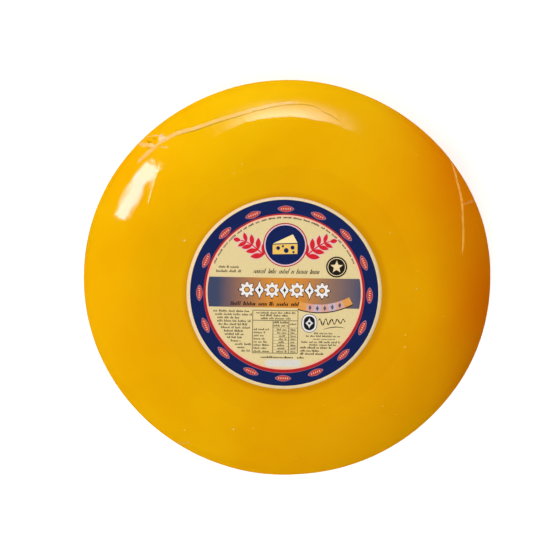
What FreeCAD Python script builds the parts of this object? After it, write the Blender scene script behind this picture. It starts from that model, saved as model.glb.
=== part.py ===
import FreeCAD, Part

# A whole round of fontina, vacuum-wrapped in clear shrink film, with a round
# paper label on its upper face, lying flat.
#
#   cheese_wheel  the cheese: flat underneath, a fully rounded rim and a face
#                 that bulges by about two millimetres, slightly oval in plan
#   label         the round paper label, lying on the face a little off centre
#   film          the skin of film round both, with two welded seams that stand
#                 proud as low ridges and the dog ear where one of them ends
#
# Millimetres, +Z up. The origin is the middle of the flat underside of the
# film. +Y is the label's upward direction, so +X is to the label's right.
#
# All skins of the wheel share one profile. Each is the outside of the film
# moved inwards by its own inset: flat base, heel arc, shoulder arc and crown
# arc, each tangent to the next, spun about Z and then narrowed along Y. The
# film's own underside is then pressed flat by a few hundredths.

import math
import os

import Sketcher

V = FreeCAD.Vector

doc = FreeCAD.newDocument("fontina_wheel")

# ------------------------------------------------------------------ sizes
SIZES = [
    # alias, value, what it is
    ("wheel_width", 250.0, "outside across X"),
    ("wheel_depth", 244.75, "outside across Y: the wheel is a little oval"),
    ("wheel_height", 94.0, "outside height at the crown"),
    ("heel_radius", 46.0, "arc from the base up to the widest girth"),
    ("shoulder_radius", 46.0, "arc from the widest girth up to the face"),
    ("base_press", 0.03, "how far the film's underside is pressed flat"),
    ("film_thick", 0.25, "thickness of the film"),
    ("film_gap", 0.25, "room between film and cheese, where the label lies"),
    ("label_thick", 0.20, "thickness of the paper"),
    ("label_radius", 57.8, "radius of the round label"),
    ("label_x", -2.0, "label centre across X"),
    ("label_y", -0.2, "label centre across Y"),
    ("seam_proud", 0.80, "height of a welded seam above the film"),
    ("seam_wide", 1.60, "width of a welded seam"),
    ("seam_reach", 40.0, "depth of the slab that cuts a seam out of the skin"),
    ("back_seam_long", 96.0, "length of the seam along the far shoulder"),
    ("back_seam_x", -29.0, "middle of that seam"),
    ("back_seam_y", 101.7, "middle of that seam"),
    ("back_seam_z", 77.6, "middle of that seam"),
    ("back_seam_lean", 29.4, "lean of its plane from level, degrees"),
    ("back_seam_turn", -78.7, "compass direction of that lean, degrees"),
    ("side_seam_long", 66.0, "length of the seam down the right shoulder"),
    ("side_seam_x", 104.0, "middle of that seam"),
    ("side_seam_y", 49.2, "middle of that seam"),
    ("side_seam_z", 71.3, "middle of that seam"),
    ("side_seam_lean", 71.5, "lean of its plane from level, degrees"),
    ("side_seam_turn", 175.2, "compass direction of that lean, degrees"),
    ("ear_long", 5.2, "half length of the dog ear at the back seam's end"),
    ("ear_wide", 2.6, "half width of the dog ear"),
    ("ear_high", 1.5, "half thickness of the dog ear"),
]

sheet = doc.addObject("Spreadsheet::Sheet", "Sizes")
for row, (alias, value, words) in enumerate(SIZES, start=1):
    sheet.set("A%d" % row, alias)
    sheet.set("B%d" % row, repr(value))
    sheet.set("C%d" % row, words)
    sheet.setAlias("B%d" % row, alias)
doc.recompute()


def size(alias):
    return float(sheet.get(alias))


# ------------------------------------------------------- the shared profile
def crown_radius(inset):
    """Radius of the crown arc that meets the shoulder arc with no corner."""
    reach = size("wheel_width") / 2 - size("shoulder_radius")
    rise = size("wheel_height") - (size("heel_radius") - size("base_press"))
    shoulder = size("shoulder_radius")
    whole = (reach ** 2 + rise ** 2 - shoulder ** 2) / (2 * (rise - shoulder))
    return whole - inset


def skin(name, label, inset):
    """A solid of the wheel's form, moved inwards from the outside by inset.

    inset is a sum of spreadsheet cells as text. The profile is a sketch on
    the XZ plane, spun about its vertical axis, and the round solid is then
    narrowed along Y to the wheel's real depth.
    """
    value = 0.0
    for term in inset.replace("-", "+-").split("+"):
        term = term.strip()
        if term in ("", "0"):
            continue
        sign = -1.0 if term.startswith("-") else 1.0
        value += sign * size(term.lstrip("- ").replace("Sizes.", ""))

    body = doc.addObject("PartDesign::Body", name + "_body")
    body.Label = label + " as turned"
    sketch = body.newObject("Sketcher::SketchObject", name + "_profile")
    plane = [f for f in body.Origin.OriginFeatures if f.Role == "XZ_Plane"][0]
    sketch.AttachmentSupport = [(plane, "")]
    sketch.MapMode = "FlatFace"
    doc.recompute()

    half = size("wheel_width") / 2
    heel = size("heel_radius")
    shoulder = size("shoulder_radius")
    low = value - size("base_press")
    girth_z = heel - size("base_press")
    top = size("wheel_height")
    crown = crown_radius(value)
    crown_z = top - value - crown
    slope = math.asin((half - shoulder) / (crown - (shoulder - value)))
    up = V(0, 0, 1)

    base = sketch.addGeometry(
        Part.LineSegment(V(0, low, 0), V(half - heel, low, 0)), False)
    a_heel = sketch.addGeometry(Part.ArcOfCircle(
        Part.Circle(V(half - heel, girth_z, 0), up, heel - value),
        -math.pi / 2, 0.0), False)
    a_shoulder = sketch.addGeometry(Part.ArcOfCircle(
        Part.Circle(V(half - shoulder, girth_z, 0), up, shoulder - value),
        0.0, math.pi / 2 - slope), False)
    a_crown = sketch.addGeometry(Part.ArcOfCircle(
        Part.Circle(V(0, crown_z, 0), up, crown),
        math.pi / 2 - slope, math.pi / 2), False)
    axis = sketch.addGeometry(
        Part.LineSegment(V(0, top - value, 0), V(0, low, 0)), False)

    def add(*args):
        return sketch.addConstraint(Sketcher.Constraint(*args))

    add("Horizontal", base)
    add("Vertical", axis)
    add("PointOnObject", base, 1, -2)
    add("Coincident", axis, 2, base, 1)
    add("Tangent", base, 2, a_heel, 1)
    add("Tangent", a_heel, 2, a_shoulder, 1)
    add("Tangent", a_shoulder, 2, a_crown, 1)
    add("Coincident", a_crown, 2, axis, 1)
    add("PointOnObject", a_crown, 3, -2)
    add("Horizontal", a_heel, 3, a_heel, 2)

    def bind(label_, index, expression):
        sketch.renameConstraint(index, label_)
        sketch.setExpression("Constraints." + label_, expression)

    bind("heel", add("Radius", a_heel, heel - value),
         "Sizes.heel_radius - (%s)" % inset)
    bind("shoulder", add("Radius", a_shoulder, shoulder - value),
         "Sizes.shoulder_radius - (%s)" % inset)
    bind("girth", add("DistanceX", -1, 1, a_heel, 3, half - heel),
         "Sizes.wheel_width / 2 - Sizes.heel_radius")
    bind("girth_height", add("DistanceY", -1, 1, a_heel, 3, girth_z),
         "Sizes.heel_radius - Sizes.base_press")
    bind("crown_height", add("DistanceY", -1, 1, axis, 1, top - value),
         "Sizes.wheel_height - (%s)" % inset)
    doc.recompute()

    spin = body.newObject("PartDesign::Revolution", name + "_spin")
    spin.Profile = sketch
    spin.ReferenceAxis = (sketch, ["V_Axis"])
    spin.Angle = 360.0
    body.Tip = spin
    doc.recompute()

    oval = doc.addObject("Part::Scale", name)
    oval.Label = label
    oval.Base = body
    oval.Uniform = False
    oval.XScale = 1.0
    oval.ZScale = 1.0
    oval.setExpression("YScale", "Sizes.wheel_depth / Sizes.wheel_width")
    doc.recompute()
    return oval


def slab(name, key):
    """The flat slab whose plane a welded seam lies in, centred on the seam."""
    box = doc.addObject("Part::Box", name)
    box.setExpression("Length", "Sizes.%s_seam_long" % key)
    box.setExpression("Width", "Sizes.seam_reach")
    box.setExpression("Height", "Sizes.seam_wide")
    lean, turn = size(key + "_seam_lean"), size(key + "_seam_turn")
    # turn the slab so that its length runs round the wheel, then lean it
    way = FreeCAD.Rotation(V(0, 0, 1), turn + 90.0)
    tip = FreeCAD.Rotation(V(1, 0, 0), lean)
    spin = way.multiply(tip)
    half = V(-size(key + "_seam_long") / 2, -size("seam_reach") / 2,
             -size("seam_wide") / 2)
    middle = V(*[size("%s_seam_%s" % (key, a)) for a in "xyz"])
    box.Placement = FreeCAD.Placement(middle + spin.multVec(half), spin)
    return box


# ------------------------------------------------------------- the skins
outside = skin("outside", "film outside", "0")
inside = skin("inside", "film inside", "Sizes.film_thick")
paper_top = skin("paper_top", "label upper skin",
                 "Sizes.film_thick + Sizes.film_gap - Sizes.label_thick")
ridge_top = skin("ridge_top", "seam crest skin", "-Sizes.seam_proud")

# The cheese itself. Its skin lies under the film and the label.
cheese = skin("cheese_wheel", "cheese_wheel",
              "Sizes.film_thick + Sizes.film_gap")

# ------------------------------------------------------------- the label
disc = doc.addObject("Part::Cylinder", "label_disc")
disc.setExpression("Radius", "Sizes.label_radius")
disc.setExpression("Height", "Sizes.wheel_height / 2")
disc.Placement = FreeCAD.Placement(
    V(size("label_x"), size("label_y"), size("wheel_height") * 0.75),
    FreeCAD.Rotation())

paper_plug = doc.addObject("Part::Common", "label_plug")
paper_plug.Base = paper_top
paper_plug.Tool = disc
doc.recompute()

label = doc.addObject("Part::Cut", "label")
label.Label = "label"
label.Base = paper_plug
label.Tool = cheese
doc.recompute()

# -------------------------------------------------------------- the film
back_ridge = doc.addObject("Part::Common", "back_ridge")
back_ridge.Base = ridge_top
back_ridge.Tool = slab("back_slab", "back")
side_ridge = doc.addObject("Part::Common", "side_ridge")
side_ridge.Base = ridge_top
side_ridge.Tool = slab("side_slab", "side")

# The dog ear: the gathered corner of the bag, shrunk to a small flat knot at
# the left end of the back seam. It half sinks into the skin.
ear = doc.addObject("Part::Ellipsoid", "dog_ear")
ear.setExpression("Radius1", "Sizes.ear_high")
ear.setExpression("Radius2", "Sizes.ear_long")
ear.setExpression("Radius3", "Sizes.ear_wide")
EAR_AT = V(-73.6, 88.0, 73.2)
ear_out = V(EAR_AT.x, EAR_AT.y / (size("wheel_depth") / size("wheel_width")) ** 2, 0)
ear_out.normalize()
ear_out = ear_out * 0.80 + V(0, 0, 0.60)
ear.Placement = FreeCAD.Placement(
    EAR_AT, FreeCAD.Rotation(V(0, 0, 1), ear_out))
doc.recompute()

bag = doc.addObject("Part::MultiFuse", "bag_solid")
bag.Shapes = [outside, back_ridge, side_ridge, ear]
doc.recompute()

# The bag is hollowed out to a skin, and its underside pressed flat on Z = 0.
skin_of_film = doc.addObject("Part::Cut", "film_skin")
skin_of_film.Base = bag
skin_of_film.Tool = inside

shelf = doc.addObject("Part::Box", "shelf")
shelf.setExpression("Length", "Sizes.wheel_width")
shelf.setExpression("Width", "Sizes.wheel_width")
shelf.setExpression("Height", "Sizes.heel_radius / 4")
shelf.Placement = FreeCAD.Placement(
    V(-size("wheel_width") / 2, -size("wheel_width") / 2,
      -size("heel_radius") / 4), FreeCAD.Rotation())
doc.recompute()

film = doc.addObject("Part::Cut", "film")
film.Label = "film"
film.Base = skin_of_film
film.Tool = shelf
doc.recompute()

# ------------------------------------------------------- checks and files
bad = []
for obj in doc.Objects:
    state = list(obj.State)
    if "Invalid" in state or "Error" in state:
        bad.append("%s: %s" % (obj.Name, state))
for sketch in [o for o in doc.Objects if o.TypeId == "Sketcher::SketchObject"]:
    if sketch.solve() != 0:
        bad.append("%s does not solve" % sketch.Name)

PARTS = [cheese, label, film]
for obj in PARTS:
    shape = obj.Shape
    if shape.isNull() or not shape.isValid() or len(shape.Solids) != 1:
        bad.append("%s: null, invalid or not one solid" % obj.Label)
if bad:
    raise SystemExit("not written: " + "; ".join(bad))

os.makedirs("parts", exist_ok=True)
for obj in PARTS:
    obj.Shape.exportStep(os.path.join("parts", obj.Label + ".step"))
    box = obj.Shape.optimalBoundingBox(False)
    print("%-13s %10.1f mm3  x %.2f..%.2f  y %.2f..%.2f  z %.2f..%.2f" % (
        obj.Label, obj.Shape.Volume, box.XMin, box.XMax, box.YMin, box.YMax,
        box.ZMin, box.ZMax))

# how far the pieces share space, which should be nothing
for one, two in ((cheese, label), (label, film), (cheese, film)):
    shared = one.Shape.common(two.Shape).Volume
    print("%s and %s share %.3f mm3" % (one.Label, two.Label, shared))
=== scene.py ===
import math
import random

import bmesh
import bpy
import numpy as np
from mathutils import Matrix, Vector
from mathutils.geometry import delaunay_2d_cdt


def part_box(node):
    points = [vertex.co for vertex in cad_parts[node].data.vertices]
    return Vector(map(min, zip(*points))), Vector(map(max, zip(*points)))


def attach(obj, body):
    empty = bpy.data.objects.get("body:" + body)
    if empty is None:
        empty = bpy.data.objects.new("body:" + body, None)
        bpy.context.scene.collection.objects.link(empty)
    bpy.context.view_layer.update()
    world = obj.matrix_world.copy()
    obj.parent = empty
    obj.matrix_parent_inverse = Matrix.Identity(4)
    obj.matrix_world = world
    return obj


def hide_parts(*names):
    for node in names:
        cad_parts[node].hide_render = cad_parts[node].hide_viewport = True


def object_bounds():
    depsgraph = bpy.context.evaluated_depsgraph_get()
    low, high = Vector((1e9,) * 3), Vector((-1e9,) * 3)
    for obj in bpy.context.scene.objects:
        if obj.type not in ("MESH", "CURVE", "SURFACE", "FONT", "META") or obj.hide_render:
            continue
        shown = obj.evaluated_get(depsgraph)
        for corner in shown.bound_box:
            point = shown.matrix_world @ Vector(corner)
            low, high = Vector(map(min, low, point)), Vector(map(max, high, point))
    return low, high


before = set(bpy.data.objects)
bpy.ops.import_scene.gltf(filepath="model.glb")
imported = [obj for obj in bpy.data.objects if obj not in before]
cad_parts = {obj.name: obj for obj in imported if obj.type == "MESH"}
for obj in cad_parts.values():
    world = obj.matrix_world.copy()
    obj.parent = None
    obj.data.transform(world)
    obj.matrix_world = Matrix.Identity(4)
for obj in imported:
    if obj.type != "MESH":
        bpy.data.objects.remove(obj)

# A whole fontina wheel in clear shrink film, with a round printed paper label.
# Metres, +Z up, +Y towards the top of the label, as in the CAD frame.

cad_lo, cad_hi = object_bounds()
film_lo, film_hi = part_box("film")
cheese_lo, cheese_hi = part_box("cheese_wheel")
label_lo, label_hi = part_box("label")

MM = 0.001
HALF_X = (cad_hi.x - cad_lo.x) / 2 / MM          # mm
HALF_Y = (cad_hi.y - cad_lo.y) / 2 / MM
TOP = film_hi.z / MM
OVAL = HALF_Y / HALF_X
HEEL = 46.0                                      # arc radii of the profile
SHOULDER = 46.0
UNDER = cheese_lo.z / MM                         # cheese skin below the film's
LABEL_R = (label_hi.x - label_lo.x) / 2 / MM
LABEL_AT = ((label_hi.x + label_lo.x) / 2 / MM, (label_hi.y + label_lo.y) / 2 / MM)

rng = np.random.default_rng(4954)
random.seed(4954)


def srgb(r, g, b):
    """A colour given 0 to 255, as linear numbers."""
    out = []
    for c in (r, g, b):
        c = c / 255.0
        out.append(c / 12.92 if c <= 0.04045 else ((c + 0.055) / 1.055) ** 2.4)
    return out


# ------------------------------------------------------------ the wheel's form
def make_profile(inset, n=2400, ease=5.0):
    """The wheel's profile from the crown's middle (0) to the base's middle,
    evenly spaced: radius, height, and outward normal. The arcs are those of
    the CAD profile, with the change of curvature between them eased over a
    few millimetres, as it is on soft cheese in tight film."""
    reach = HALF_X - SHOULDER
    rise = TOP - HEEL
    crown = (reach ** 2 + rise ** 2 - SHOULDER ** 2) / (2 * (rise - SHOULDER))
    slope = math.asin(reach / (crown - SHOULDER))
    arcs = [(crown * slope, 1 / crown),
            (SHOULDER * (math.pi / 2 - slope), 1 / SHOULDER),
            (HEEL * math.pi / 2, 1 / HEEL),
            (HALF_X - HEEL, 0.0)]
    total = sum(a[0] for a in arcs)
    s = np.linspace(0, total, n)
    bend = np.zeros(n)
    at = 0.0
    for length, k in arcs:
        bend[(s >= at) & (s <= at + length)] = k
        at += length
    step = s[1] - s[0]
    reachn = int(3 * ease / step)
    kern = np.exp(-0.5 * (np.arange(-reachn, reachn + 1) * step / ease) ** 2)
    kern /= kern.sum()
    padded = np.concatenate([bend[reachn:0:-1], bend, bend[-2:-reachn - 2:-1]])
    soft = np.convolve(padded, kern, "same")[reachn:-reachn]
    # the base stays flat and the crown even, so only the middle is eased
    lean = np.concatenate([[0], np.cumsum((soft[1:] + soft[:-1]) / 2 * step)])
    lean *= math.pi / lean[-1]
    r = np.concatenate([[0], np.cumsum(np.cos((lean[1:] + lean[:-1]) / 2) * step)])
    z = TOP - np.concatenate([[0], np.cumsum(np.sin((lean[1:] + lean[:-1]) / 2) * step)])
    r *= HALF_X / r.max()
    r -= np.linspace(0, 1, n) ** 8 * r[-1]
    z = (z - z.min()) / (z.max() - z.min()) * TOP
    nr, nz = np.sin(lean), np.cos(lean)
    return s, r - nr * inset, z - nz * inset, nr, nz


S, PR, PZ, PNR, PNZ = make_profile(0.0)
S_END = S[-1]


def skin(theta, s, out=0.0):
    """A point on the wheel's skin and the outward normal there. theta is the
    angle in plan, s the distance down the profile from the crown in mm, and
    out how far outside the film's outer skin, in mm. Arrays in, arrays out."""
    theta, s = np.broadcast_arrays(np.asarray(theta, float), np.asarray(s, float))
    r = np.interp(s, S, PR)
    z = np.interp(s, S, PZ)
    nr = np.interp(s, S, PNR)
    nz = np.interp(s, S, PNZ)
    c, t = np.cos(theta), np.sin(theta)
    p = np.stack([r * c, OVAL * r * t, z], -1)
    n = np.stack([nr * c, nr * t / OVAL, nz], -1)
    n /= np.linalg.norm(n, axis=-1, keepdims=True)
    return p + n * np.asarray(out)[..., None] if np.ndim(out) else p + n * out, n


def s_of_lean(deg):
    """Distance down the profile to where the skin leans that far from level."""
    lean = np.degrees(np.arctan2(PNR, PNZ))
    return float(np.interp(deg, lean, S))


# -------------------------------------------------------------------- meshes
def new_object(name, verts_mm, faces, mats, indices=None, smooth=True, normals=None):
    mesh = bpy.data.meshes.new(name)
    mesh.from_pydata((np.asarray(verts_mm) * MM).tolist(), [], faces)
    mesh.update()
    for m in mats:
        mesh.materials.append(m)
    if indices is not None:
        mesh.polygons.foreach_set("material_index", np.asarray(indices, np.int32))
    if smooth:
        mesh.polygons.foreach_set("use_smooth", np.ones(len(mesh.polygons), bool))
    if normals is not None:
        mesh.normals_split_custom_set_from_vertices(np.asarray(normals).tolist())
    mesh.update()
    obj = bpy.data.objects.new(name, mesh)
    bpy.context.scene.collection.objects.link(obj)
    return obj


def waves(theta, s, parts):
    """Smooth unevenness: a sum of a few long waves over the skin, in mm."""
    p, _ = skin(theta, s)
    total = np.zeros(p.shape[:-1])
    for amp, length, seed in parts:
        g = np.random.default_rng(seed)
        for _ in range(6):
            d = g.normal(size=3)
            d /= np.linalg.norm(d)
            total += amp / 2.4 * np.sin(p @ d * 2 * math.pi / (length * g.uniform(0.7, 1.5))
                                       + g.uniform(0, 2 * math.pi))
    return total


def smooth(x, a, b):
    t = np.clip((np.asarray(x, float) - a) / (b - a), 0, 1)
    return t * t * (3 - 2 * t)


def lift(theta, s):
    """The unevenness that the cheese, its label and the tight film share.
    It dies away towards the flat base."""
    theta, s = np.broadcast_arrays(np.asarray(theta, float), np.asarray(s, float))
    rest = smooth(S_END - 79 + 2 - s, 0, 60)
    return waves(theta, s, [(0.16, 80.0, 11), (0.035, 24.0, 12)]) * rest


def label_edge(theta, s):
    """Distance in plan outside the label's edge, in mm, near the crown."""
    p, _ = skin(theta, s)
    d = np.hypot(p[..., 0] - LABEL_AT[0], p[..., 1] - LABEL_AT[1]) - LABEL_R
    return np.where(p[..., 2] > TOP * 0.8, d, 99.0)


def bumps_at(theta, s, spots):
    """Soft dents and swellings: (degrees, mm down, length, width, turn, height)."""
    total = np.zeros(np.broadcast(theta, s).shape)
    for deg, down_at, long, wide, turn, high in spots:
        dx = (np.degrees(theta) - deg + 180) % 360 - 180
        x = np.radians(dx) * np.interp(down_at, S, PR)
        y = s - down_at
        c, t = math.cos(math.radians(turn)), math.sin(math.radians(turn))
        u, v = x * c + y * t, -x * t + y * c
        total += high * np.exp(-0.5 * ((u / long) ** 2 + (v / wide) ** 2))
    return total


# Where the film pulls over the shoulder: small ripples and dents that break
# the edge of its reflections.
RIPPLES = [(142.4, 105.8, 3.1, 2.7, 4, -0.19), (148.2, 117.3, 6.2, 3.0, 6, -0.21),
           (138.9, 101.4, 3.2, 2.8, 4, 0.15), (146.6, 101.3, 3.7, 2.8, -7, 0.07),
           (151.2, 105.5, 6.1, 2.0, -2, -0.09), (158.8, 109.2, 5.0, 2.8, -23, 0.04),
           (169.4, 105.1, 3.2, 3.0, 68, 0.11), (141.6, 125.0, 7.7, 4.3, 7, 0.28),
           (151.3, 115.5, 5.2, 1.7, 15, -0.06), (153.4, 115.7, 3.9, 2.3, 5, 0.10),
           (136.8, 108.2, 2.6, 1.5, 34, 0.07), (154.6, 100.7, 4.2, 2.6, -30, 0.06),
           (120.0, 104, 7.0, 3.0, 0, 0.05), (104.0, 100, 9.0, 3.4, 5, -0.04),
           (88.0, 103, 10.0, 3.2, -5, 0.04), (74.0, 102, 6.0, 3.0, 20, -0.06),
           (66.0, 108, 6.0, 3.5, -30, 0.06)]


def film_out(theta, s):
    """How far the film's skin stands from the CAD film's outer skin, in mm."""
    over = 1 - smooth(label_edge(theta, s), 0.2, 1.6)
    out = -0.36 + 0.36 * over + lift(theta, s)
    near = smooth(s, 60, 80) * (1 - smooth(s, 170, 215))
    out = out + near * waves(theta, s, [(0.030, 17.0, 22)])
    out = out + bumps_at(theta, s, RIPPLES)
    return np.where(s > S_END - 79 + 3, 0.0, out)


def cheese_out(theta, s):
    """The cheese's skin: inside the film, and dented where the film dents it."""
    return np.minimum(lift(theta, s) - UNDER, film_out(theta, s) - 0.07)


def polar_grid(around, down, out_at, base):
    """A closed skin of the wheel as a polar grid: vertices and faces."""
    theta = np.linspace(0, 2 * math.pi, around, endpoint=False)
    s = np.asarray(down)
    tt, ss = np.meshgrid(theta, s, indexing="ij")
    p, _ = skin(tt, ss, out_at(tt, ss))
    p[..., 2] = np.maximum(p[..., 2], base)
    verts = p.reshape(-1, 3)
    rows = len(s)
    faces = []
    for i in range(around):
        j = (i + 1) % around
        for k in range(rows - 1):
            faces.append((i * rows + k, i * rows + k + 1, j * rows + k + 1, j * rows + k))
    crown, _ = skin(np.zeros(1), np.zeros(1), out_at(np.zeros(1), np.zeros(1)))
    foot = np.array([[0.0, 0.0, base]])
    a, b = len(verts), len(verts) + 1
    verts = np.concatenate([verts, crown, foot])
    for i in range(around):
        j = (i + 1) % around
        faces.append((a, i * rows, j * rows))
        faces.append((b, j * rows + rows - 1, i * rows + rows - 1))
    return verts, faces


# ----------------------------------------------------------------- materials
def material(name):
    m = bpy.data.materials.new(name)
    m.use_nodes = True
    nt = m.node_tree
    nt.nodes.clear()
    out = nt.nodes.new("ShaderNodeOutputMaterial")
    return m, nt, out


def noise(nt, coords, scale, detail=2.0, rough=0.5, distort=0.0):
    n = nt.nodes.new("ShaderNodeTexNoise")
    n.inputs["Scale"].default_value = scale
    n.inputs["Detail"].default_value = detail
    n.inputs["Roughness"].default_value = rough
    n.inputs["Distortion"].default_value = distort
    nt.links.new(coords, n.inputs["Vector"])
    return n.outputs["Fac"]


def ramp(nt, fac, stops, interpolation="LINEAR"):
    n = nt.nodes.new("ShaderNodeValToRGB")
    n.color_ramp.interpolation = interpolation
    while len(n.color_ramp.elements) > 1:
        n.color_ramp.elements.remove(n.color_ramp.elements[-1])
    n.color_ramp.elements[0].position = stops[0][0]
    n.color_ramp.elements[0].color = (*stops[0][1], 1)
    for pos, col in stops[1:]:
        e = n.color_ramp.elements.new(pos)
        e.color = (*col, 1)
    nt.links.new(fac, n.inputs["Fac"])
    return n.outputs["Color"]


def mix(nt, fac, a, b, blend="MIX"):
    n = nt.nodes.new("ShaderNodeMix")
    n.data_type = "RGBA"
    n.blend_type = blend
    n.clamp_factor = True
    for sock, val in ((n.inputs[0], fac), (n.inputs[6], a), (n.inputs[7], b)):
        if isinstance(val, bpy.types.NodeSocket):
            nt.links.new(val, sock)
        elif isinstance(val, (int, float)):
            sock.default_value = val
        else:
            sock.default_value = (*val, 1)
    return n.outputs[2]


def maths(nt, op, a, b=None, c=None, clamp=False):
    n = nt.nodes.new("ShaderNodeMath")
    n.operation = op
    n.use_clamp = clamp
    for sock, val in zip(n.inputs, (a, b, c)):
        if val is None:
            continue
        if isinstance(val, bpy.types.NodeSocket):
            nt.links.new(val, sock)
        else:
            sock.default_value = val
    return n.outputs[0]


def remap(nt, value, a, b, lo=0.0, hi=1.0):
    n = nt.nodes.new("ShaderNodeMapRange")
    n.interpolation_type = "SMOOTHSTEP"
    nt.links.new(value, n.inputs["Value"])
    for k, v in (("From Min", a), ("From Max", b), ("To Min", lo), ("To Max", hi)):
        n.inputs[k].default_value = v
    return n.outputs[0]


def bump(nt, height, strength, distance):
    n = nt.nodes.new("ShaderNodeBump")
    n.inputs["Strength"].default_value = strength
    n.inputs["Distance"].default_value = distance
    nt.links.new(height, n.inputs["Height"])
    return n.outputs["Normal"]


def object_coords(nt):
    return nt.nodes.new("ShaderNodeTexCoord").outputs["Object"]


def axis(nt, coords, which):
    n = nt.nodes.new("ShaderNodeSeparateXYZ")
    nt.links.new(coords, n.inputs[0])
    return n.outputs[which]


CHEESE_MID = (0.640, 0.306, 0.0008)
CHEESE_DEEP = (0.615, 0.270, 0.0006)
CHEESE_PALE = (0.655, 0.331, 0.0025)
# painted shade: the deeper, darker orange of the side away from the lamps
CHEESE_SHADED_SIDE = (0.560, 0.170, 0.0005)
# broad soft patches of painted light and shade, mixed with the rind's own tone: middle (mm), radius, red and
# green gain
SHADES = [((-45, 108, 70), 68, 1.00, 1.10), ((12, 120, 56), 42, 1.01, 1.05),
          ((88, 68, 80), 62, 1.04, 0.94), ((-72, -20, 90), 48, 1.00, 0.90),
          ((-52, -84, 80), 68, 1.04, 1.09), ((28, 62, 92), 66, 1.03, 1.03),
          ((114, -10, 68), 46, 1.01, 0.78), ((-116, 34, 58), 50, 0.96, 1.05),
          ((-45, 56, 93), 42, 1.05, 1.05), ((99, -62, 66), 36, 1.0, 0.88)]


def cheese_material():
    m, nt, out = material("cheese")
    co = object_coords(nt)
    big = noise(nt, co, 14.0, 3.0, 0.55)
    colour = ramp(nt, big, [(0.30, CHEESE_DEEP), (0.50, CHEESE_MID), (0.72, CHEESE_PALE)])
    fine = noise(nt, co, 90.0, 4.0, 0.6)
    colour = mix(nt, maths(nt, "MULTIPLY", fine, 0.16), colour, CHEESE_DEEP)
    # painted light and shade: a little yellower towards the lit side, and a deeper, darker orange on the
    # shaded side
    x = axis(nt, co, 0)
    y = axis(nt, co, 1)
    z = axis(nt, co, 2)
    # painted light: green raised towards the lit side and lowered away from it
    across = maths(nt, "SUBTRACT", maths(nt, "MULTIPLY", y, 0.58), maths(nt, "MULTIPLY", x, 0.81))
    colour = mix(nt, remap(nt, across, -0.11, 0.11), mix(nt, 1.0, colour, (1.0, 0.955, 1.0), "MULTIPLY"),
                 mix(nt, 1.0, colour, (1.0, 1.125, 1.0), "MULTIPLY"))
    # painted shade: the shoulder and side towards +X, away from the lamps, turn a deeper orange
    wander = maths(nt, "MULTIPLY", noise(nt, co, 9.0, 2.0), 0.020)
    along = maths(nt, "ADD", maths(nt, "MULTIPLY", x, 0.985), maths(nt, "MULTIPLY", y, 0.174))
    reach = maths(nt, "ADD", maths(nt, "SUBTRACT", along, maths(nt, "MULTIPLY", z, 0.25)), wander)
    side = remap(nt, reach, 0.064, 0.112)
    colour = mix(nt, side, colour, CHEESE_SHADED_SIDE)
    # painted shadow: a thin darker ring on the rind round the label's edge, wider towards the lower right,
    # where the film spans that edge
    edge = nt.nodes.new("ShaderNodeVectorMath")
    edge.operation = "DISTANCE"
    flat = nt.nodes.new("ShaderNodeCombineXYZ")
    nt.links.new(x, flat.inputs[0])
    nt.links.new(y, flat.inputs[1])
    nt.links.new(flat.outputs[0], edge.inputs[0])
    edge.inputs[1].default_value = ((LABEL_AT[0] + 0.9) * MM, (LABEL_AT[1] - 0.5) * MM, 0)
    near = remap(nt, edge.outputs["Value"], (LABEL_R + 0.6) * MM, (LABEL_R + 4.6) * MM, 1.0, 0.0)
    near = maths(nt, "MULTIPLY", near, maths(nt, "GREATER_THAN", z, 0.8 * TOP * MM))
    colour = mix(nt, near, colour, mix(nt, 1.0, colour, (0.84, 0.76, 1.0), "MULTIPLY"))
    # painted light and shade together with the rind's own tone: each patch scales red and green
    for middle, radius, red, green in SHADES:
        far = nt.nodes.new("ShaderNodeVectorMath")
        far.operation = "DISTANCE"
        nt.links.new(co, far.inputs[0])
        far.inputs[1].default_value = [c * MM for c in middle]
        near = remap(nt, far.outputs["Value"], 0.0, radius * MM, 1.0, 0.0)
        colour = mix(nt, near, colour, mix(nt, 1.0, colour, (red, green, 1.0), "MULTIPLY"))
    p = nt.nodes.new("ShaderNodeBsdfPrincipled")
    nt.links.new(colour, p.inputs["Base Color"])
    p.inputs["Roughness"].default_value = 0.55
    p.inputs["Specular IOR Level"].default_value = 0.0
    nt.links.new(bump(nt, noise(nt, co, 260.0, 3.0), 0.15, 0.0004), p.inputs["Normal"])
    nt.links.new(p.outputs[0], out.inputs["Surface"])
    return m


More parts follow.
